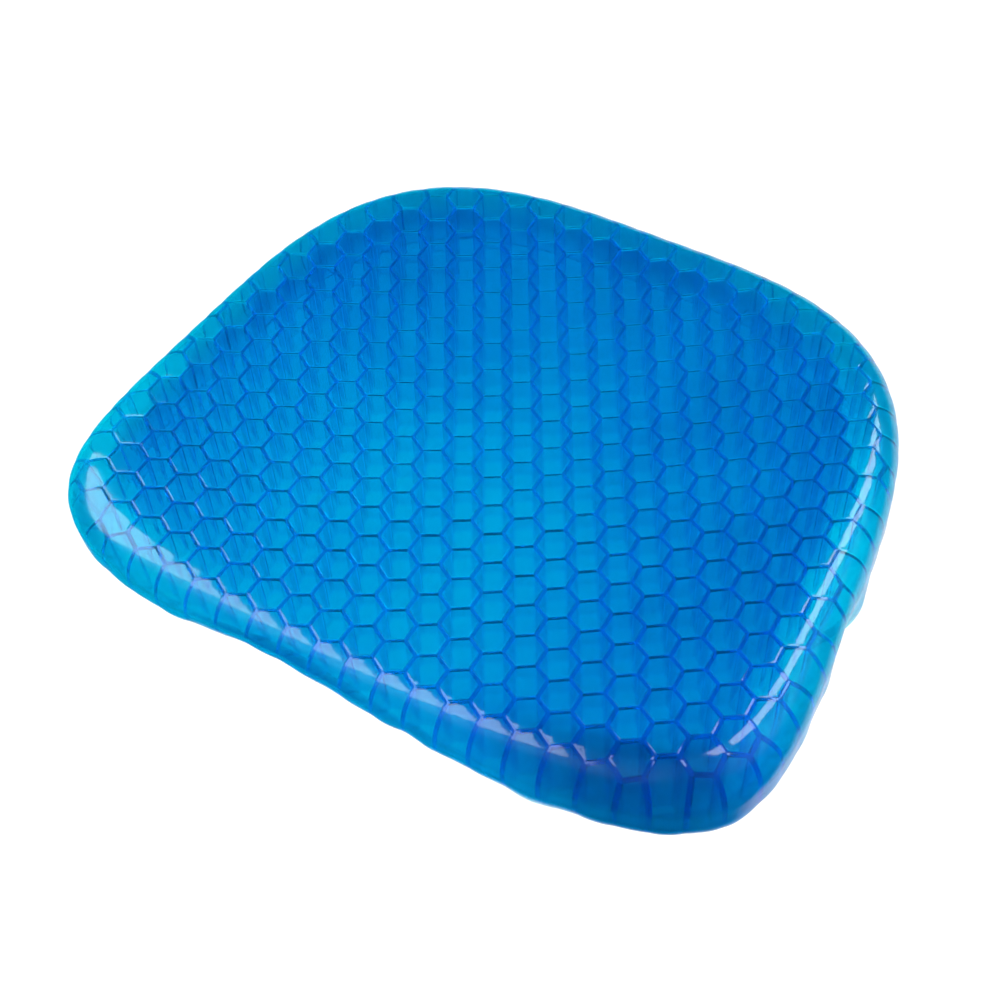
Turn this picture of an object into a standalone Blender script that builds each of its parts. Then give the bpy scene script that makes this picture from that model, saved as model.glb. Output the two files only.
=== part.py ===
"""A contoured honeycomb gel seat cushion: a dished sitting skin, a rolled rim and
side wall, and a grid of hexagonal cells under the skin, open at the bottom."""

import math

import bmesh
import bpy

# Driving dimensions, in metres. +X is the cushion's right, +Y its back, +Z up.
MID_HALF_WIDTH = 0.2036  # half the width at the belt line; the front is a little wider
FRONT_REACH = 0.1687  # from the belt line to the front edge
BACK_REACH = 0.1842  # from the belt line to the back edge
TAPER = 0.46  # share of the width lost for each metre towards the back
FRONT_SQUARENESS = 4.8  # exponent of the outline's front corners
BACK_SQUARENESS = 3.2  # exponent of the outline's rounder back corners

SEAT_HEIGHT = 0.0346  # top of the skin at the middle of the seat
RIM_RISE = 0.0137  # how far the highest stretch of the rim stands above that
SIDE_EASE = (1.80, -0.85)  # square and fourth-power shares of the rise towards the sides
BACK_SHARE = 0.87  # share of the rise reached at the back edge
FRONT_SHARE = 0.32  # share of the rise reached at the front edge

RIM_RADIUS = 0.019  # the rolled edge between the seat and the side wall
TUCK = 0.005  # how far the side wall draws in at its foot
BELLY_HEIGHT = 0.017  # where the side wall is widest
FOOT_BAND = 0.002  # upright strip at the very foot of the side wall

SKIN = 0.0018  # skin and side wall thickness
CELL_WALL = 0.0015  # thickness of the honeycomb's walls
CELL_PITCH = 0.01885  # across the flats of one cell, wall centre to wall centre
CELL_SIDE = CELL_PITCH / math.sqrt(3)
ROW_OFFSET = -0.0034  # where the honeycomb's middle row lies
GAP = 0.0003  # clearance between neighbouring pieces

AROUND = 72  # points around the cushion
WALL_RINGS = 4
ROLL_RINGS = 6
SEAT_RINGS = 6

BELT_Y = (FRONT_REACH - BACK_REACH) / 2
GEL_BLUE = (0.005, 0.24, 0.72, 1.0)
CORE_BLUE = (0.002, 0.12, 0.58, 1.0)


def empty_scene():
    for obj in list(bpy.data.objects):
        bpy.data.objects.remove(obj, do_unlink=True)


def new_collection(name):
    collection = bpy.data.collections.new(name)
    bpy.context.scene.collection.children.link(collection)
    return collection


def gel_material(name, colour, roughness):
    material = bpy.data.materials.new(name)
    material.use_nodes = True
    shader = material.node_tree.nodes["Principled BSDF"]
    shader.inputs["Base Color"].default_value = colour
    shader.inputs["Roughness"].default_value = roughness
    shader.inputs["Metallic"].default_value = 0.0
    return material


def add_object(name, mesh, collection, material):
    obj = bpy.data.objects.new(name, mesh)
    collection.objects.link(obj)
    obj.data.materials.append(material)
    return obj


def outline_point(angle, inset):
    """A point of the plan outline drawn in by inset, at a polar angle about the belt."""
    front = math.sin(angle) < 0
    reach = (FRONT_REACH if front else BACK_REACH) - inset
    power = FRONT_SQUARENESS if front else BACK_SQUARENESS
    across = abs(math.cos(angle) / (MID_HALF_WIDTH - inset)) ** power
    along = abs(math.sin(angle) / reach) ** power
    radius = (across + along) ** (-1 / power)
    y = radius * math.sin(angle)
    return radius * math.cos(angle) * (1 - TAPER * y), y + BELT_Y


def inset_of(x, y):
    """How far inside the outline a point lies, counted as outline_point counts it."""
    belt_y = y - BELT_Y
    reach = FRONT_REACH if belt_y < 0 else BACK_REACH
    power = FRONT_SQUARENESS if belt_y < 0 else BACK_SQUARENESS
    across = abs(x / (1 - TAPER * belt_y))
    along = abs(belt_y)
    low, high = -0.05, min(MID_HALF_WIDTH, reach) * 0.999
    for _ in range(40):
        inset = (low + high) / 2
        fill = (across / (MID_HALF_WIDTH - inset)) ** power + (along / (reach - inset)) ** power
        if fill > 1:
            high = inset
        else:
            low = inset
    return low


def seat_height(x, y):
    """The dished seat: lowest in the middle, rising most at the sides and the back."""
    belt_y = y - BELT_Y
    side = (x / MID_HALF_WIDTH) ** 2
    side_rise = SIDE_EASE[0] * side + SIDE_EASE[1] * side**2
    if belt_y < 0:
        end_rise = FRONT_SHARE * (belt_y / FRONT_REACH) ** 2
    else:
        end_rise = BACK_SHARE * (belt_y / BACK_REACH) ** 2
    return SEAT_HEIGHT + RIM_RISE * (1 - (1 - side_rise) * (1 - end_rise))


def wall_inset(z):
    """How far the side wall is drawn in at height z, below its belly."""
    climb = max(z - FOOT_BAND, 0) / (BELLY_HEIGHT - FOOT_BAND)
    return TUCK * (1 + math.cos(math.pi * min(climb, 1))) / 2


def rolled_point(angle, turn):
    """A point on the rolled rim: turn 0 is the top of the side wall, 90 degrees the crest."""
    x, y = outline_point(angle, RIM_RADIUS * (1 - math.cos(turn)))
    return x, y, seat_height(x, y) - RIM_RADIUS * (1 - math.sin(turn))


def wall_point(angle, share):
    """A point on the side wall: share 0 is its foot, 1 the start of the rolled rim."""
    top = rolled_point(angle, 0)[2]
    z = FOOT_BAND * share * WALL_RINGS if share * WALL_RINGS < 1 else top * share
    return (*outline_point(angle, wall_inset(z)), z)


def seat_point(angle, share):
    """A point on the seat: share 0 is the middle, 1 the rim's crest."""
    rim_x, rim_y = outline_point(angle, RIM_RADIUS + GAP)
    x, y = share * rim_x, share * (rim_y - BELT_Y) + BELT_Y
    return x, y, seat_height(x, y)


def add_ring(bm, point_at, amount):
    angles = [2 * math.pi * i / AROUND for i in range(AROUND)]
    return [bm.verts.new(point_at(angle, amount)) for angle in angles]


def bridge(bm, lower, upper):
    for i in range(AROUND):
        j = (i + 1) % AROUND
        bm.faces.new((lower[i], lower[j], upper[j], upper[i]))


def to_mesh(bm, name):
    mesh = bpy.data.meshes.new(name)
    bm.to_mesh(mesh)
    bm.free()
    mesh.shade_smooth()
    return mesh


def thicken(obj, thickness, offset):
    shell = obj.modifiers.new("thickness", "SOLIDIFY")
    shell.thickness = thickness
    shell.offset = offset
    return shell


def build_rim_wall(collection):
    """The side wall and the rolled rim, from the foot up to the crest."""
    bm = bmesh.new()
    rings = [add_ring(bm, wall_point, 0), add_ring(bm, wall_point, 0.999 / WALL_RINGS)]
    rings += [add_ring(bm, wall_point, i / WALL_RINGS) for i in range(2, WALL_RINGS + 1)]
    for i in range(1, ROLL_RINGS + 1):
        rings.append(add_ring(bm, rolled_point, math.pi / 2 * i / ROLL_RINGS))
    for lower, upper in zip(rings, rings[1:]):
        bridge(bm, lower, upper)
    material = gel_material("rim_gel", GEL_BLUE, 0.12)
    obj = add_object("rim_wall", to_mesh(bm, "rim_wall"), collection, material)
    thicken(obj, SKIN, -1).use_even_offset = True


def build_top_skin(collection):
    """The sitting skin inside the rim's crest."""
    bm = bmesh.new()
    rings = [add_ring(bm, seat_point, i / SEAT_RINGS) for i in range(SEAT_RINGS, 0, -1)]
    for lower, upper in zip(rings, rings[1:]):
        bridge(bm, lower, upper)
    bm.faces.new(rings[-1])
    material = gel_material("skin_gel", GEL_BLUE, 0.10)
    obj = add_object("top_skin", to_mesh(bm, "top_skin"), collection, material)
    thicken(obj, SKIN, -1)


def ceiling(x, y):
    """The highest that a honeycomb wall may reach under the skin and the rolled rim."""
    cover = SKIN + 2 * GAP
    inset = inset_of(x, y) - CELL_WALL / 2
    z = seat_height(x, y) - 1.1 * cover
    if inset < RIM_RADIUS:
        inner_radius = RIM_RADIUS - cover
        lean = min((RIM_RADIUS - inset) / inner_radius, 1)
        z -= inner_radius * (1 - math.sqrt(1 - lean**2))
    return z


def last_inside(start, end, least_inset):
    """The point on the way from start to end where the inset falls to least_inset."""
    low, high = 0.0, 1.0
    for _ in range(30):
        share = (low + high) / 2
        x = start[0] + share * (end[0] - start[0])
        y = start[1] + share * (end[1] - start[1])
        if inset_of(x, y) > least_inset:
            low = share
        else:
            high = share
    return start[0] + low * (end[0] - start[0]), start[1] + low * (end[1] - start[1])


def grid_key(x, y):
    """The same whole numbers for the same grid point, whichever cell it is counted from."""
    return round(4 * x / CELL_PITCH), round(4 * (y - ROW_OFFSET) / CELL_SIDE)


def cell_edges():
    """The honeycomb's wall lines in plan, each as two corner points, each once."""
    rows = math.ceil(BACK_REACH / (1.5 * CELL_SIDE)) + 1
    columns = math.ceil(MID_HALF_WIDTH * 1.1 / CELL_PITCH) + 1
    edges = {}
    for row in range(-rows, rows + 1):
        for column in range(-columns, columns + 1):
            x = (column + (row % 2) / 2 + 0.5) * CELL_PITCH
            y = row * 1.5 * CELL_SIDE + ROW_OFFSET
            turns = [math.pi / 3 * i for i in range(6)]
            corners = [(x + CELL_SIDE * math.sin(t), y + CELL_SIDE * math.cos(t)) for t in turns]
            for a, b in zip(corners, corners[1:] + corners[:1]):
                edges.setdefault(grid_key((a[0] + b[0]) / 2, (a[1] + b[1]) / 2), (a, b))
    return edges.values()


def new_post(bm, x, y):
    """A vertical line where walls meet or end: its foot and its head."""
    return bm.verts.new((x, y, 0)), bm.verts.new((x, y, ceiling(x, y)))


def add_wall(bm, post_a, post_b):
    bm.faces.new((post_a[0], post_b[0], post_b[1], post_a[1]))


def linked_verts(start):
    """Every vertex that edges lead to from start, itself included."""
    found, waiting = {start}, [start]
    while waiting:
        for edge in waiting.pop().link_edges:
            fresh = set(edge.verts) - found
            found |= fresh
            waiting += fresh
    return found


def drop_loose_walls(bm):
    """Deletes the odd wall near the rim that touches no other cell."""
    middle = min(bm.verts, key=lambda v: v.co.x**2 + v.co.y**2)
    grid = linked_verts(middle)
    loose = [v for v in bm.verts if v not in grid]
    bmesh.ops.delete(bm, geom=loose, context="VERTS")


def build_honeycomb_core(collection):
    """Upright cell walls under the skin. They stop just inside the side wall."""
    least_inset = TUCK + SKIN + 2 * GAP + CELL_WALL / 2
    bm = bmesh.new()
    posts = {}

    def post_at(x, y):
        if grid_key(x, y) not in posts:
            posts[grid_key(x, y)] = new_post(bm, x, y)
        return posts[grid_key(x, y)]

    cut_edges = []
    for a, b in cell_edges():
        if inset_of(*a) > least_inset and inset_of(*b) > least_inset:
            add_wall(bm, post_at(*a), post_at(*b))
        else:
            cut_edges += [(a, b), (b, a)]
    for start, end in cut_edges:
        stop = last_inside(start, end, least_inset)
        if grid_key(*start) in posts and math.dist(start, stop) > 2 * CELL_WALL:
            add_wall(bm, post_at(*start), new_post(bm, *stop))
    drop_loose_walls(bm)
    mesh = bpy.data.meshes.new("honeycomb_core")
    bm.to_mesh(mesh)
    bm.free()
    obj = add_object("honeycomb_core", mesh, collection, gel_material("core_gel", CORE_BLUE, 0.2))
    walls = thicken(obj, CELL_WALL, 0)
    walls.solidify_mode = "NON_MANIFOLD"
    walls.nonmanifold_thickness_mode = "EVEN"
    walls.nonmanifold_merge_threshold = 0.00001


def main():
    empty_scene()
    cushion = new_collection("gel_seat_cushion")
    build_rim_wall(cushion)
    build_top_skin(cushion)
    build_honeycomb_core(cushion)


main()
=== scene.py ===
"""The looks of a honeycomb gel seat cushion: one moulded skin that rolls over the rim,
and the hexagonal cell walls that show through it."""

import math

import bmesh
import bpy
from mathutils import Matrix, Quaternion, Vector
from mathutils.kdtree import KDTree


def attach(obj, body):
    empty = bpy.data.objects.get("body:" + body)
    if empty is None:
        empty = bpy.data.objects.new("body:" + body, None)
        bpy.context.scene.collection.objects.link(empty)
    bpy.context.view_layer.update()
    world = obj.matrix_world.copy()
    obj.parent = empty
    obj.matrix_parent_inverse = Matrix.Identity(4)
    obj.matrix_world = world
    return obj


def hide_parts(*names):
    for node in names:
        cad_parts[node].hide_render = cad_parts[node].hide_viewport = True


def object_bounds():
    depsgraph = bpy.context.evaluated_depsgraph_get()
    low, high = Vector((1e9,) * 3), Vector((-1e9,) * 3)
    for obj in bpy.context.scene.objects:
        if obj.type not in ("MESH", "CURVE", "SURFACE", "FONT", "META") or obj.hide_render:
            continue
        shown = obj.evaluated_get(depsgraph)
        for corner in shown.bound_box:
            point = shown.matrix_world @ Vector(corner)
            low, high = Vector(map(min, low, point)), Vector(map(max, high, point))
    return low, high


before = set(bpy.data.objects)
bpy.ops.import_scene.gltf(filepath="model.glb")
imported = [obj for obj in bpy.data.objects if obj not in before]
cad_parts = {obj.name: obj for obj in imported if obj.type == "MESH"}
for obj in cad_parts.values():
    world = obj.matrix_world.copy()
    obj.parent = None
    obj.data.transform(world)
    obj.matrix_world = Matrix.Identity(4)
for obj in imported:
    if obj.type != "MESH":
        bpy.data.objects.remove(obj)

CAD_LOW, CAD_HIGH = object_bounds()

# Plan outline, in metres. Seen from the front, +X is right, +Y away and +Z up.
BELT_Y = -0.00775  # the line that the outline's front and back halves meet on
FRONT_REACH = BELT_Y - CAD_LOW.y
BACK_REACH = CAD_HIGH.y - BELT_Y
MID_HALF_WIDTH = 0.2036
TAPER = 0.46  # share of the width lost for each metre towards the back
FRONT_SQUARENESS = 4.8
BACK_SQUARENESS = 3.2

# The dished seat, the rolled rim and the side wall.
SEAT_HEIGHT = 0.0346  # in the middle
RIM_RISE = 0.0137  # how far a full rise stands above that
SIDE_EASE = (1.80, -0.85)  # how the rise grows with the square and the fourth power of x
BACK_SHARE = 0.87  # how much of the rise there is in the middle of the back edge
FRONT_SHARE = 0.32
RIM_RADIUS = 0.019
BELLY_HEIGHT = 0.018  # where the side wall stands out furthest
TUCK = 0.008  # how far the side wall draws in at its foot
SKIN = 0.0018
WALL_COVER = SKIN * 0.7  # how far below the skin's outside the cell walls end

# How the soft cushion lies: its right side is pushed up and its foot is wavy.
# Each place is a polar angle about the belt and a width in degrees, then the change.
RIGHT_STRETCH = 0.14
WAVE_DEPTH = 0.0013
WAVE_COUNTS = (13, 29, 47)
CREASES = (
    (-150, 10, 0.012),
    (-110, 4, 0.002),
    (-103, 17, 0.009),
    (-5, 4, 0.010),
    (4, 4, -0.003),
)
MORE_TUCK = ((-110, 32, 0.003), (-57, 8, -0.004), (-36, 16, 0.006), (14, 30, -0.005))
CREASE_REACH = 0.03  # how far in from the side wall a wave is felt

# The honeycomb.
CELL_PITCH = 0.01885
CELL_SIDE = CELL_PITCH / math.sqrt(3)
ROW_PITCH = 1.5 * CELL_SIDE
COLUMN_OFFSET = -0.00285
ROW_OFFSET = -0.0034
EDGE_CLEARANCE = 0.008  # corners nearer the side wall than this give way to spokes
LEAST_CLEARANCE = 0.003  # the same for corners that close a cell
SPOKE_INSET = 0.0012  # the inset at which the spokes end, within the side wall's gel
WALL_STEP = 0.0022  # the longest piece of a wall's outline near the rim
CELL_WALL = 0.0018
RIM_CELL_WALL = 0.0020
RIM_CELL_WALLS = ((-45, 28, 0.0012),)
LEAST_WALL_HEIGHT = 0.0005
WALL_HEAD = 0.0026  # thickness where a wall flares into the skin
FLARE_DEPTHS = (0.0024, 0.0010)  # below the wall's top: where the flare starts, and its neck
NECK_SHARE = 1 / 2.4  # the neck's thickness, as a share of the plain wall's and the head's together
MOST_WALL = 0.0035  # what a full weight stands for

# Painted light and shade, carried in the skin's tint: how light the gel looks, from 0 up to its
# palest level, with changes by place as above.
# The seat's painted level, and its painted shade by place: darker away from a paler middle, most
# towards the back.
SEAT_PAINTED_LEVEL = 0.52
SEAT_PAINTED_SHADE = (
    (-140, 35, -0.08),
    (-50, 40, -0.16),
    (0, 50, -0.16),
    (95, 75, -0.26),
    (165, 30, -0.1),
)
BACK_BAND_PAINTED_LIGHT = 0.25  # painted light: a paler band just inside the back rim, against the darker look where the rim's own gel lies behind the seat's
PAINTED_LIGHT_MIDDLE = (-0.02, -0.06)  # the middle of the seat's painted pool of light, in plan
PAINTED_LIGHT_REACH = 0.17  # from there to where the seat's painted shade is full
# Painted light on the rim and side wall, paler than the seat, then painted light and shade by place:
# paler at the left corner, darker along the front and most at the front corner, a little darker at
# the back.
RIM_PAINTED_LEVEL = 0.93
RIM_PAINTED_LIGHT_AND_SHADE = (
    (-155, 20, 0.22),
    (-122, 18, -0.12),
    (-85, 30, -0.5),
    (-45, 20, -0.9),
    (-10, 20, 0.06),
    (100, 60, -0.22),
)
# The palest level of the painted light, where the skin's tint is almost clear.
PALEST_PAINTED_LEVEL = 1.5
FOOT_PAINTED_LIGHT = 0.015  # painted light: the skin's tint turns to its palest over this height above its foot, against the shade there
RIM_PAINTED_LIGHT_START = 0.017  # the inset where the rim's painted light starts to give way to the seat's
RIM_PAINTED_LIGHT_FADE = 0.014

DEPTH_TINT = (0.0, 0.78, 1.0)  # what the gel's depth lets through
# The skin's tints for each level of painted light and shade, from the darkest to the palest.
PAINTED_SHADING_TINTS = (
    (0.0, (0.0, 0.10, 0.29)),
    (0.3, (0.0, 0.24, 0.55)),
    (0.5, (0.0, 0.35, 0.62)),
    (0.75, (0.0, 0.43, 0.62)),
    (1.0, (0.0, 0.60, 0.73)),
    (PALEST_PAINTED_LEVEL, (0.0, 0.92, 0.97)),
)
WALL_TINTS = ((0.0, (0.0, 0.94, 1.0)), (1.0, (0.0, 0.99, 1.0)))

SINK_REACH = 0.0012  # how far from a cell wall's middle its sink in the skin reaches
SINK_DEPTH = 0.00014
GRAIN = 0.1  # the grain's height, as a share of a sink's
RIM_MIST = 0.08  # how much rougher the side wall and the rim's outer half are than the seat

PUFF_REACH = 0.007  # distance from the walls at which a cell's bulge is full
RIM_PUFF = 0.0003
SEAT_PUFF = 0.0001
POINT_STEP = 0.0006  # spacing of the points along the walls that it is measured from

AROUND = 640
WALL_RINGS = 12
ROLL_RINGS = 18
SEAT_RINGS = 45
RING_CROWDING = 0.75  # below 1, the seat's rings lie closer together towards the rim
HALVINGS = 22  # steps in each search by halving
FURTHEST_OUTSIDE = 0.05  # how far outside the outline a point's inset is still measured

# The camera.
AIM = Vector((0.0115, -0.0368, 0.03))
AZIMUTH = 32.34
ELEVATION = 53.13
ROLL = -3.22
DISTANCE = 0.8987
LENS = 60.5

# The light. The gloss mirrors colours that change along one direction, low down at the back.
SOFTBOX_DISTANCE = 1.5
LOW_BACK = (0, 0.5, -0.6)
SURROUNDINGS = (
    (0.0, (0.0, 0.22, 0.6)),
    (0.2, (0.0, 0.42, 0.7)),
    (0.52, (0.0, 0.42, 0.7)),
    (0.64, (0.8, 0.85, 1.0)),
)


def clamp(value, low=0.0, high=1.0):
    return min(max(value, low), high)


def smooth(value):
    """0 to 1 with a soft start and end."""
    t = clamp(value)
    return t * t * (3 - 2 * t)


def outline_point(angle, inset):
    """A point of the plan outline drawn in by inset, at a polar angle about the belt."""
    front = math.sin(angle) < 0
    reach = (FRONT_REACH if front else BACK_REACH) - inset
    power = FRONT_SQUARENESS if front else BACK_SQUARENESS
    across = abs(math.cos(angle) / (MID_HALF_WIDTH - inset)) ** power
    along = abs(math.sin(angle) / reach) ** power
    radius = (across + along) ** (-1 / power)
    y = radius * math.sin(angle)
    return radius * math.cos(angle) * (1 - TAPER * y), y + BELT_Y


def angle_of(x, y):
    """The polar angle that outline_point gives this point at."""
    belt_y = y - BELT_Y
    return math.atan2(belt_y, x / (1 - TAPER * belt_y))


def last_inside(low, high, is_inside):
    """The last value between two that is inside, found by halving."""
    for _ in range(HALVINGS):
        middle = (low + high) / 2
        if is_inside(middle):
            low = middle
        else:
            high = middle
    return low


def inset_of(x, y):
    """How far inside the outline a point lies, counted as outline_point counts it."""
    belt_y = y - BELT_Y
    reach = FRONT_REACH if belt_y < 0 else BACK_REACH
    power = FRONT_SQUARENESS if belt_y < 0 else BACK_SQUARENESS
    across = abs(x / (1 - TAPER * belt_y))
    along = abs(belt_y)

    def is_inside(inset):
        return (across / (MID_HALF_WIDTH - inset)) ** power + (along / (reach - inset)) ** power <= 1

    just_short_of_middle = min(MID_HALF_WIDTH, reach) * 0.999
    return last_inside(-FURTHEST_OUTSIDE, just_short_of_middle, is_inside)


def seat_height(x, y):
    """The dished seat: lowest in the middle, rising most at the sides and the back."""
    belt_y = y - BELT_Y
    side = (x / MID_HALF_WIDTH) ** 2
    side_rise = SIDE_EASE[0] * side + SIDE_EASE[1] * side**2
    if belt_y < 0:
        end_rise = FRONT_SHARE * (belt_y / FRONT_REACH) ** 2
    else:
        end_rise = BACK_SHARE * (belt_y / BACK_REACH) ** 2
    return SEAT_HEIGHT + RIM_RISE * (1 - (1 - side_rise) * (1 - end_rise))


def change_at(angle, places):
    """The sum of soft changes, each around its own polar angle."""
    total = 0
    for place, width, change in places:
        away = (math.degrees(angle) - place + 180) % 360 - 180
        total += change * math.exp(-((away / width) ** 2))
    return total


def tuck_at(angle):
    """How far the side wall draws in at its foot."""
    return TUCK + change_at(angle, MORE_TUCK)


def wall_inset(angle, z):
    """How far the side wall is drawn in at height z, below its belly."""
    climb = clamp(z / BELLY_HEIGHT)
    return tuck_at(angle) * (1 - math.sin(math.pi / 2 * climb))


def foot_height(angle, inset):
    """The height at which the side wall is drawn in by inset: the inverse of wall_inset."""
    tuck = tuck_at(angle)
    if inset >= tuck:
        return 0.0
    return BELLY_HEIGHT * math.asin(1 - max(inset, 0) / tuck) * 2 / math.pi


def rolled_point(angle, turn):
    """A point on the rolled rim: turn 0 is the top of the side wall, 90 degrees the crest."""
    x, y = outline_point(angle, RIM_RADIUS * (1 - math.cos(turn)))
    return x, y, seat_height(x, y) - RIM_RADIUS * (1 - math.sin(turn))


def wall_point(angle, share):
    """A point on the side wall: share 0 is its foot, 1 the start of the rolled rim."""
    z = rolled_point(angle, 0)[2] * share
    return (*outline_point(angle, wall_inset(angle, z)), z)


def seat_point(angle, share):
    """A point on the seat: share 0 is the middle, 1 the rim's crest."""
    rim_x, rim_y = outline_point(angle, RIM_RADIUS)
    x, y = share * rim_x, share * (rim_y - BELT_Y) + BELT_Y
    return x, y, seat_height(x, y)


def distance_from_painted_light(x, y):
    """How far a point lies from the middle of the seat's painted pool of light: 0 there, 1 by the
    rim.
    """
    return math.hypot(x - PAINTED_LIGHT_MIDDLE[0], y - PAINTED_LIGHT_MIDDLE[1]) / PAINTED_LIGHT_REACH


def outward(x, y):
    """The way to the nearest stretch of the side wall, as a unit vector in plan."""
    step = 0.001
    slope_x = inset_of(x - step, y) - inset_of(x + step, y)
    slope_y = inset_of(x, y - step) - inset_of(x, y + step)
    return Vector((slope_x, slope_y)).normalized()


def wave_at(angle):
    """How far the foot is pushed in at an angle: soft waves and a few deeper creases."""
    waves = sum(math.sin(count * angle + count) for count in WAVE_COUNTS)
    return WAVE_DEPTH * waves / len(WAVE_COUNTS) + change_at(angle, CREASES)


def flex(mesh):
    """Bends a mesh as the soft cushion lies: right side up, foot wavy."""
    for vert in mesh.vertices:
        x, y, z = vert.co
        rim = 1 - smooth(inset_of(x, y) / CREASE_REACH)
        if rim > 0:
            low = (1 - smooth(z / CAD_HIGH.z)) ** 2
            push = wave_at(angle_of(x, y)) * rim * low
            vert.co.xy -= outward(x, y) * push
            vert.co.z += abs(push) / 2
        vert.co.z *= 1 + RIGHT_STRETCH * smooth(x / MID_HALF_WIDTH)


def points_tree(points):
    """A tree that finds the nearest of some points in plan."""
    tree = KDTree(len(points))
    for i, point in enumerate(points):
        tree.insert((*point, 0), i)
    tree.balance()
    return tree


def wall_points(walls):
    """Points along the walls in plan, to measure distances from."""
    count = math.ceil(CELL_SIDE / POINT_STEP)
    return points_tree([a.lerp(b, i / count) for a, b in walls for i in range(count + 1)])


def puff(mesh, walls):
    """Lets the skin bulge a little between the cell walls, most of all along the rim."""
    tree = wall_points(walls)
    normals = [vert.normal.copy() for vert in mesh.vertices]
    for vert, normal in zip(mesh.vertices, normals):
        x, y, z = vert.co
        away = min(tree.find((x, y, 0))[2] / PUFF_REACH, 1)
        rim = 1 - clamp((inset_of(x, y) - RIM_RADIUS) / RIM_RADIUS)
        height = SEAT_PUFF + (RIM_PUFF - SEAT_PUFF) * rim
        vert.co += normal * height * (1 - (1 - away) ** 2)


def add_ring(bm, point_at, amount):
    """A closed ring of points, one for each angle."""
    angles = [2 * math.pi * i / AROUND for i in range(AROUND)]
    return [bm.verts.new(point_at(angle, amount)) for angle in angles]


def bridge(bm, lower, upper):
    """A band of faces between two rings."""
    for i in range(AROUND):
        j = (i + 1) % AROUND
        bm.faces.new((lower[i], lower[j], upper[j], upper[i]))


def add_piece(name, bm, material):
    """A piece of gel, which neither shades the floor nor colours it."""
    mesh = bpy.data.meshes.new(name)
    bm.to_mesh(mesh)
    bm.free()
    mesh.materials.append(material)
    obj = bpy.data.objects.new(name, mesh)
    obj.visible_shadow = False
    obj.visible_diffuse = False
    bpy.context.scene.collection.objects.link(obj)
    return obj


def painted_shading_at(x, y, z, centres):
    """Painted light and shade: how light the gel looks. Cells turn pale one by one where the rim
    begins, painted light for what comes in through the side wall.
    """
    cell_x, cell_y, _ = centres.find((x, y, 0))[0]
    inset = (inset_of(x, y) + inset_of(cell_x, cell_y)) / 2
    # painted light: the rim paler than the seat, cell by cell
    rim = 1 - smooth((inset - RIM_PAINTED_LIGHT_START) / RIM_PAINTED_LIGHT_FADE)
    # painted shade: the seat darker away from its painted pool of light
    seat = SEAT_PAINTED_LEVEL + change_at(angle_of(x, y), SEAT_PAINTED_SHADE) * smooth(distance_from_painted_light(x, y))
    by_rim = 1 - smooth((inset - RIM_RADIUS) / RIM_RADIUS)
    # painted light: a paler band just inside the back rim
    seat += BACK_BAND_PAINTED_LIGHT * by_rim * smooth(2 * (y - BELT_Y) / BACK_REACH)
    painted_shading = seat + (RIM_PAINTED_LEVEL + change_at(angle_of(x, y), RIM_PAINTED_LIGHT_AND_SHADE) - seat) * rim
    # painted light: the tint turns palest towards the foot
    return PALEST_PAINTED_LEVEL + (painted_shading - PALEST_PAINTED_LEVEL) * smooth(z / FOOT_PAINTED_LIGHT)


def store_looks(mesh):
    """Stores what the skin's material needs: its painted light and shade, and where its honeycomb is
    unbent.
    """
    centres = points_tree(cell_centres())
    places = [vert.co.copy() for vert in mesh.vertices]
    painted_shading = mesh.attributes.new("painted_shading", "FLOAT", "POINT")
    painted_shading.data.foreach_set("value", [painted_shading_at(*place, centres) for place in places])
    flatness = mesh.attributes.new("flatness", "FLOAT", "POINT")
    flats = [smooth((inset_of(x, y) - EDGE_CLEARANCE) / EDGE_CLEARANCE) for x, y, z in places]
    flatness.data.foreach_set("value", flats)


def build_shell(walls, material):
    """The skin, from the foot of the side wall over the rim to the middle of the seat."""
    bm = bmesh.new()
    rings = [add_ring(bm, wall_point, i / WALL_RINGS) for i in range(WALL_RINGS + 1)]
    for i in range(1, ROLL_RINGS + 1):
        rings.append(add_ring(bm, rolled_point, math.pi / 2 * i / ROLL_RINGS))
    for i in range(SEAT_RINGS - 1, 0, -1):
        rings.append(add_ring(bm, seat_point, (i / SEAT_RINGS) ** RING_CROWDING))
    for lower, upper in zip(rings, rings[1:]):
        bridge(bm, lower, upper)
    middle = bm.verts.new((0, BELT_Y, seat_height(0, BELT_Y)))
    for i in range(AROUND):
        bm.faces.new((rings[-1][i], rings[-1][(i + 1) % AROUND], middle))
    obj = add_piece("gel_shell", bm, material)
    store_looks(obj.data)
    puff(obj.data, walls)
    flex(obj.data)
    obj.data.shade_smooth()
    skin = obj.modifiers.new("skin", "SOLIDIFY")
    skin.thickness = SKIN
    skin.offset = -1
    skin.use_even_offset = True
    return obj


def ceiling(x, y, inset):
    """How high the cell walls reach: just into the skin and the rolled rim."""
    z = seat_height(x, y) - WALL_COVER
    if inset < RIM_RADIUS:
        inner_radius = RIM_RADIUS - WALL_COVER
        lean = min((RIM_RADIUS - inset) / inner_radius, 1)
        z -= inner_radius * (1 - math.sqrt(1 - lean**2))
    return z


def grid_key(x, y):
    """The same whole numbers for the same grid point, whichever cell it is counted from."""
    return round(4 * (x - COLUMN_OFFSET) / CELL_PITCH), round(4 * (y - ROW_OFFSET) / CELL_SIDE)


def cell_centres():
    """The middles of the honeycomb's cells in plan, with a cell or two to spare all round."""
    rows = math.ceil(BACK_REACH / ROW_PITCH) + 1
    columns = math.ceil(MID_HALF_WIDTH * 1.1 / CELL_PITCH) + 1
    centres = []
    for row in range(-rows, rows + 1):
        for column in range(-columns, columns + 1):
            x = (column + (row % 2) / 2 + 0.5) * CELL_PITCH + COLUMN_OFFSET
            centres.append(Vector((x, row * ROW_PITCH + ROW_OFFSET)))
    return centres


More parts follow.
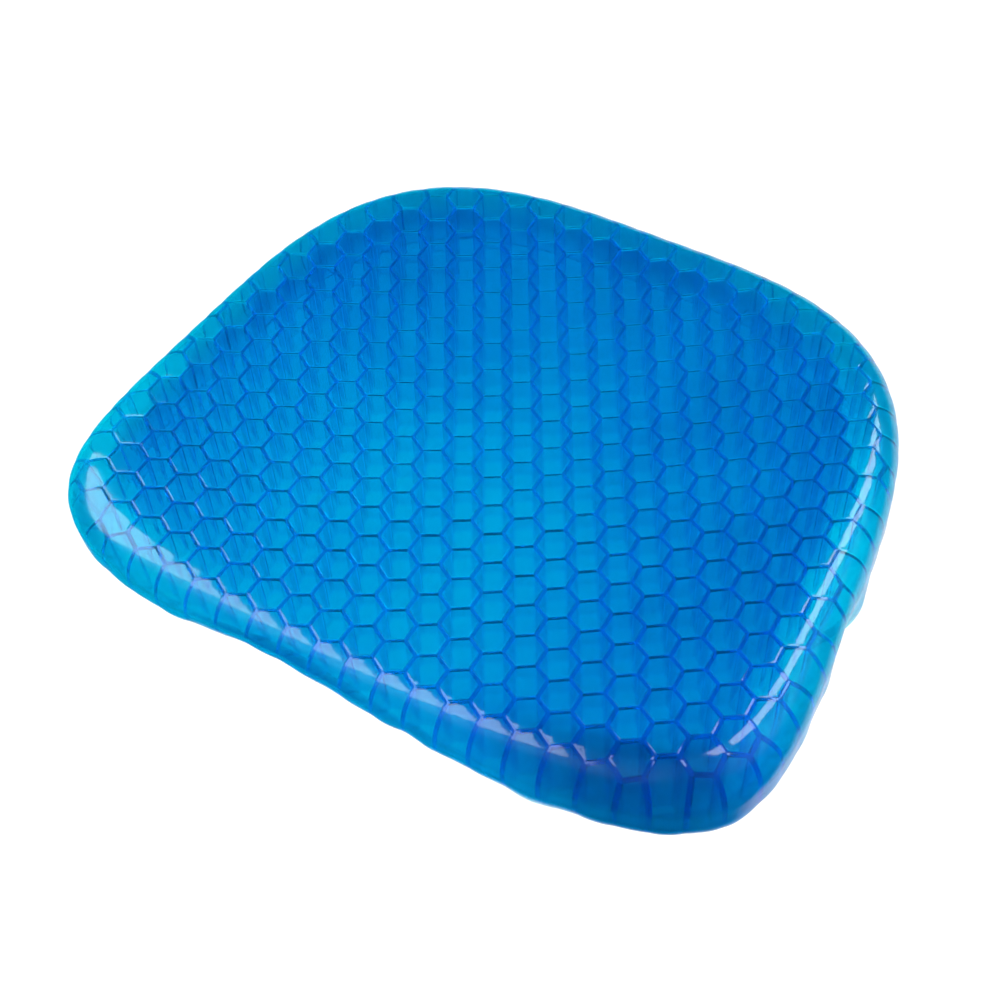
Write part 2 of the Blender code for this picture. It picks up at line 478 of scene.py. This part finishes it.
def hexagon_grid():
    """The honeycomb's corner points in plan by key, and each one's neighbours' keys."""
    corners, neighbours = {}, {}
    turns = [math.pi / 3 * i for i in range(6)]
    spokes = [Vector((math.sin(turn), math.cos(turn))) * CELL_SIDE for turn in turns]
    for centre in cell_centres():
        cell = [centre + spoke for spoke in spokes]
        keys = [grid_key(*corner) for corner in cell]
        corners.update(zip(keys, cell))
        for a, b in zip(keys, keys[1:] + keys[:1]):
            neighbours.setdefault(a, set()).add(b)
            neighbours.setdefault(b, set()).add(a)
    return corners, neighbours


def kept_corners(corners, neighbours):
    """The corners that are far enough from the side wall, and those that close a cell there."""
    insets = {key: inset_of(*corner) for key, corner in corners.items()}
    kept = {key for key in corners if insets[key] > EDGE_CLEARANCE}
    closing = {
        key
        for key in set(corners) - kept
        if insets[key] > LEAST_CLEARANCE and len(neighbours[key] & kept) >= 2
    }
    return kept | closing


def spoke_end(start, towards):
    """Where the last wall of a cell, leaving a corner for the outside, meets the side wall."""
    way = (towards.normalized() + outward(*start)).normalized()
    far = start + way * 3 * CELL_SIDE

    def is_inside(share):
        return inset_of(*start.lerp(far, share)) > SPOKE_INSET

    return start.lerp(far, last_inside(0.0, 1.0, is_inside))


def cell_walls():
    """The walls in plan as pairs of points: the hexagons, and spokes out to the side wall."""
    corners, neighbours = hexagon_grid()
    kept = kept_corners(corners, neighbours)
    walls = []
    for key in sorted(kept):
        start = corners[key]
        walls += [(start, corners[other]) for other in sorted(neighbours[key] & kept) if key < other]
        lost = [corners[other] - start for other in sorted(neighbours[key] - kept)]
        if lost:
            walls.append((start, spoke_end(start, sum(lost, Vector((0, 0))))))
    return walls


def new_post(bm, thickness, x, y):
    """An upright line of points in a cell wall, each with the wall's thickness there."""
    inset = inset_of(x, y)
    foot = foot_height(angle_of(x, y), inset - WALL_COVER)
    head = max(ceiling(x, y, inset), foot + LEAST_WALL_HEIGHT)
    rim = 1 - smooth((inset - RIM_RADIUS) / RIM_RADIUS)
    rim_wall = RIM_CELL_WALL + change_at(angle_of(x, y), RIM_CELL_WALLS)
    plain = CELL_WALL + (rim_wall - CELL_WALL) * rim
    flare = min(1, (head - foot) / (2 * FLARE_DEPTHS[0]))
    heights = [foot] + [head - depth * flare for depth in FLARE_DEPTHS] + [head]
    neck = max(plain, (plain + WALL_HEAD) * NECK_SHARE)
    widths = [plain, plain, neck, max(plain, WALL_HEAD)]
    post = [bm.verts.new((x, y, z)) for z in heights]
    for vert, width in zip(post, widths):
        vert[thickness][0] = width / MOST_WALL
    return post


def build_honeycomb(walls, material):
    """Upright cell walls under the skin, out to the side wall, whose inside they follow."""
    bm = bmesh.new()
    thickness = bm.verts.layers.deform.verify()
    posts = {}

    def post_at(point):
        key = (round(point.x, 6), round(point.y, 6))
        if key not in posts:
            posts[key] = new_post(bm, thickness, *point)
        return posts[key]

    for start, end in walls:
        near_rim = min(inset_of(*start), inset_of(*end)) < RIM_RADIUS
        steps = math.ceil((end - start).length / WALL_STEP) if near_rim else 1
        row = [post_at(start.lerp(end, i / steps)) for i in range(steps + 1)]
        for left, right in zip(row, row[1:]):
            for i in range(len(left) - 1):
                bm.faces.new((left[i], right[i], right[i + 1], left[i + 1]))
    obj = add_piece("gel_honeycomb", bm, material)
    flex(obj.data)
    obj.vertex_groups.new(name="thickness")
    solid = obj.modifiers.new("walls", "SOLIDIFY")
    solid.solidify_mode = "NON_MANIFOLD"
    solid.nonmanifold_thickness_mode = "EVEN"
    solid.nonmanifold_merge_threshold = 0.00001
    solid.thickness = MOST_WALL
    solid.vertex_group = "thickness"
    solid.offset = 0
    return obj


def gel_material(name, bending, clearness, density):
    """Clear coloured gel that is darker the deeper light runs in it; its tint is linked after."""
    material = bpy.data.materials.new(name)
    material.use_nodes = True
    nodes = material.node_tree.nodes
    links = material.node_tree.links
    shader = nodes["Principled BSDF"]
    shader.inputs["IOR"].default_value = bending
    shader.inputs["Transmission Weight"].default_value = clearness
    depth = nodes.new("ShaderNodeVolumeAbsorption")
    depth.inputs["Color"].default_value = (*DEPTH_TINT, 1)
    depth.inputs["Density"].default_value = density
    links.new(depth.outputs["Volume"], nodes["Material Output"].inputs["Volume"])
    return material


def add_noise(material, scale, detail, low, high):
    """A noise in the object's own space, spread between two values."""
    nodes = material.node_tree.nodes
    links = material.node_tree.links
    place = nodes.new("ShaderNodeTexCoord")
    noise = nodes.new("ShaderNodeTexNoise")
    noise.inputs["Scale"].default_value = scale
    noise.inputs["Detail"].default_value = detail
    spread = nodes.new("ShaderNodeMapRange")
    spread.inputs["From Min"].default_value = 0.3
    spread.inputs["From Max"].default_value = 0.7
    spread.inputs["To Min"].default_value = low
    spread.inputs["To Max"].default_value = high
    links.new(place.outputs["Object"], noise.inputs["Vector"])
    links.new(noise.outputs["Fac"], spread.inputs["Value"])
    return spread.outputs["Result"]


def add_ramp(tree, factor, colours):
    """A colour ramp over a factor, as pairs of a position and a colour."""
    ramp = tree.nodes.new("ShaderNodeValToRGB")
    stops = ramp.color_ramp.elements
    while len(stops) < len(colours):
        stops.new(1)
    for stop, (position, colour) in zip(stops, colours):
        stop.position = position
        stop.color = (*colour, 1)
    tree.links.new(factor, ramp.inputs["Fac"])
    return ramp.outputs["Color"]


def add_tint(material, factor, tints):
    """A base colour that follows a factor."""
    tint = add_ramp(material.node_tree, factor, tints)
    shader = material.node_tree.nodes["Principled BSDF"]
    material.node_tree.links.new(tint, shader.inputs["Base Color"])


def add_maths(tree, operation, *values):
    """A maths node; each value is a number or another node's output."""
    maths = tree.nodes.new("ShaderNodeMath")
    maths.operation = operation
    for socket, value in zip(maths.inputs, values):
        if isinstance(value, (int, float)):
            socket.default_value = value
        else:
            tree.links.new(value, socket)
    return maths.outputs["Value"]


def add_cell_edge(tree):
    """The distance to the nearest cell wall in plan, for a whole honeycomb.

    The cells' middles are two interleaved grids of rectangles. In each grid, fold the point
    into the first cell, take its distance from the walls' lines, and keep the larger.
    """
    place = tree.nodes.new("ShaderNodeTexCoord")
    axes = tree.nodes.new("ShaderNodeSeparateXYZ")
    tree.links.new(place.outputs["Object"], axes.inputs["Vector"])
    edges = []
    for grid in (0.0, 0.5):
        x_start = COLUMN_OFFSET + (0.5 + grid) * CELL_PITCH
        y_start = ROW_OFFSET + 2 * grid * ROW_PITCH
        x = add_maths(tree, "SUBTRACT", axes.outputs["X"], x_start)
        y = add_maths(tree, "SUBTRACT", axes.outputs["Y"], y_start)
        x = add_maths(tree, "PINGPONG", x, CELL_PITCH / 2)
        y = add_maths(tree, "PINGPONG", y, ROW_PITCH)
        across = add_maths(tree, "MULTIPLY", x, 0.5)
        slant = add_maths(tree, "MULTIPLY_ADD", y, math.sqrt(0.75), across)
        far = add_maths(tree, "MAXIMUM", x, slant)
        edges.append(add_maths(tree, "SUBTRACT", CELL_PITCH / 2, far))
    return add_maths(tree, "MAXIMUM", *edges)


def add_attribute(material, name):
    """A number that store_looks keeps at each point of the mesh."""
    attribute = material.node_tree.nodes.new("ShaderNodeAttribute")
    attribute.attribute_name = name
    return attribute.outputs["Fac"]


def add_relief(material):
    """A fine grain, and shallow sinks in the seat where the skin meets the cell walls."""
    tree = material.node_tree
    sink = add_maths(tree, "DIVIDE", add_cell_edge(tree), SINK_REACH)
    sink = add_maths(tree, "MINIMUM", sink, 1)
    sink = add_maths(tree, "SMOOTH_MAX", sink, 0, 0.3)
    sink = add_maths(tree, "MULTIPLY", sink, add_attribute(material, "flatness"))
    grain = add_noise(material, scale=260, detail=2, low=0, high=GRAIN)
    bump = tree.nodes.new("ShaderNodeBump")
    bump.inputs["Distance"].default_value = SINK_DEPTH
    tree.links.new(add_maths(tree, "ADD", sink, grain), bump.inputs["Height"])
    return bump.outputs["Normal"]


def shell_material():
    """The skin's gel: its tint follows the stored painted light and shade, a little clouded."""
    material = gel_material("gel_skin_painted_shading", bending=1.4, clearness=0.97, density=60)
    tree = material.node_tree
    cloud = add_noise(material, scale=18, detail=3, low=-0.05, high=0.05)
    # The painted light and shade that the tint follows, with a little cloud.
    painted_shading = add_maths(tree, "ADD", add_attribute(material, "painted_shading"), cloud)
    share = add_maths(tree, "DIVIDE", painted_shading, PALEST_PAINTED_LEVEL)
    add_tint(material, share, [(level / PALEST_PAINTED_LEVEL, tint) for level, tint in PAINTED_SHADING_TINTS])
    smears = add_noise(material, scale=40, detail=2, low=0.05, high=0.09)
    flatness = add_attribute(material, "flatness")
    mist = add_maths(tree, "MULTIPLY_ADD", flatness, -RIM_MIST, RIM_MIST)
    shader = tree.nodes["Principled BSDF"]
    tree.links.new(add_maths(tree, "ADD", smears, mist), shader.inputs["Roughness"])
    tree.links.new(add_relief(material), shader.inputs["Normal"])
    return material


def core_material():
    """The cell walls' gel. It bends light less than the skin's, which keeps its lines pale."""
    material = gel_material("gel_walls", bending=1.2, clearness=0.96, density=110)
    add_tint(material, add_noise(material, scale=30, detail=3, low=0, high=1), WALL_TINTS)
    shader = material.node_tree.nodes["Principled BSDF"]
    shader.inputs["Roughness"].default_value = 0.0
    return material


def place_camera():
    """The camera looks down on the cushion from the front right."""
    azimuth, elevation = math.radians(AZIMUTH), math.radians(ELEVATION)
    level = math.cos(elevation)
    away = Vector((math.sin(azimuth) * level, -math.cos(azimuth) * level, math.sin(elevation)))
    camera = bpy.data.objects.new("camera", bpy.data.cameras.new("camera"))
    bpy.context.scene.collection.objects.link(camera)
    camera.location = AIM + DISTANCE * away
    camera.rotation_mode = "QUATERNION"
    roll = Quaternion((0, 0, 1), math.radians(ROLL))
    camera.rotation_quaternion = (-away).to_track_quat("-Z", "Y") @ roll
    camera.data.lens = LENS
    camera.data.sensor_width = 36
    camera.data.clip_start = 0.01
    bpy.context.scene.camera = camera


def add_light(name, kind, direction, energy):
    """A light that shines from a direction, towards the object."""
    light = bpy.data.lights.new(name, kind)
    light.energy = energy
    obj = bpy.data.objects.new(name, light)
    bpy.context.scene.collection.objects.link(obj)
    obj.rotation_mode = "QUATERNION"
    obj.rotation_quaternion = (-Vector(direction)).to_track_quat("-Z", "Y")
    return obj


def add_sun(name, direction, strength, spread):
    """Broad, even light that draws no highlight of its own."""
    sun = add_light(name, "SUN", direction, strength)
    sun.data.angle = math.radians(spread)
    sun.visible_glossy = False


def add_softbox(name, direction, width, length, energy):
    """A rectangular lamp that is seen in the gloss only."""
    box = add_light(name, "AREA", direction, energy)
    box.data.shape = "RECTANGLE"
    box.data.size = width
    box.data.size_y = length
    box.location = AIM + Vector(direction).normalized() * SOFTBOX_DISTANCE
    box.visible_diffuse = False
    box.visible_transmission = False


def build_world():
    """Soft surroundings that are seen in the gloss and through the gel only."""
    world = bpy.data.worlds.new("studio")
    world.use_nodes = True
    world.cycles_visibility.diffuse = False
    nodes = world.node_tree.nodes
    links = world.node_tree.links
    place = nodes.new("ShaderNodeTexCoord")
    low_back = nodes.new("ShaderNodeVectorMath")
    low_back.operation = "DOT_PRODUCT"
    low_back.inputs[1].default_value = LOW_BACK
    links.new(place.outputs["Generated"], low_back.inputs[0])
    ramp = add_ramp(world.node_tree, low_back.outputs["Value"], SURROUNDINGS)
    links.new(ramp, nodes["Background"].inputs["Color"])
    bpy.context.scene.world = world


def build_floor():
    """A plain white floor, which the gloss doesn't mirror."""
    bpy.ops.mesh.primitive_plane_add(size=12)
    floor = bpy.context.object
    floor.name = "floor"
    floor.visible_glossy = False
    material = bpy.data.materials.new("floor_white")
    material.use_nodes = True
    shader = material.node_tree.nodes["Principled BSDF"]
    shader.inputs["Base Color"].default_value = (0.9, 0.9, 0.9, 1)
    shader.inputs["Roughness"].default_value = 0.9
    floor.data.materials.append(material)


def build_backdrop():
    """A white dome behind everything, for the camera alone."""
    bpy.ops.mesh.primitive_uv_sphere_add(radius=8)
    dome = bpy.context.object
    dome.name = "backdrop"
    dome.visible_diffuse = False
    dome.visible_glossy = False
    dome.visible_transmission = False
    dome.visible_shadow = False
    material = bpy.data.materials.new("backdrop_white")
    material.use_nodes = True
    shader = material.node_tree.nodes["Principled BSDF"]
    shader.inputs["Base Color"].default_value = (0, 0, 0, 1)
    shader.inputs["Emission Color"].default_value = (1, 1, 1, 1)
    shader.inputs["Emission Strength"].default_value = 1
    dome.data.materials.append(material)


def build_lights():
    """Two broad suns for the light, and a softbox for each highlight along the rim."""
    add_sun("key", (-0.5, -0.2, 1.0), strength=2.8, spread=60)
    add_sun("fill", (0.6, 0.5, 1.0), strength=2.1, spread=60)
    add_softbox("softbox_front", (-0.66, -0.17, 0.75), width=1.1, length=1.15, energy=21)
    add_softbox("softbox_right", (0.22, 0.55, 0.82), width=0.5, length=1.2, energy=15)


def set_look():
    """Plain colours, and light paths long enough for gel behind gel."""
    scene = bpy.context.scene
    scene.view_settings.view_transform = "Standard"
    scene.cycles.max_bounces = 24
    scene.cycles.glossy_bounces = 16
    scene.cycles.transmission_bounces = 16
    scene.cycles.caustics_reflective = False
    scene.cycles.caustics_refractive = False


walls = cell_walls()
shell = build_shell(walls, shell_material())
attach(shell, "root")
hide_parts("top_skin", "rim_wall")
honeycomb = build_honeycomb(walls, core_material())
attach(honeycomb, "root")
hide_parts("honeycomb_core")
build_floor()
build_backdrop()
build_world()
build_lights()
place_camera()
set_look()
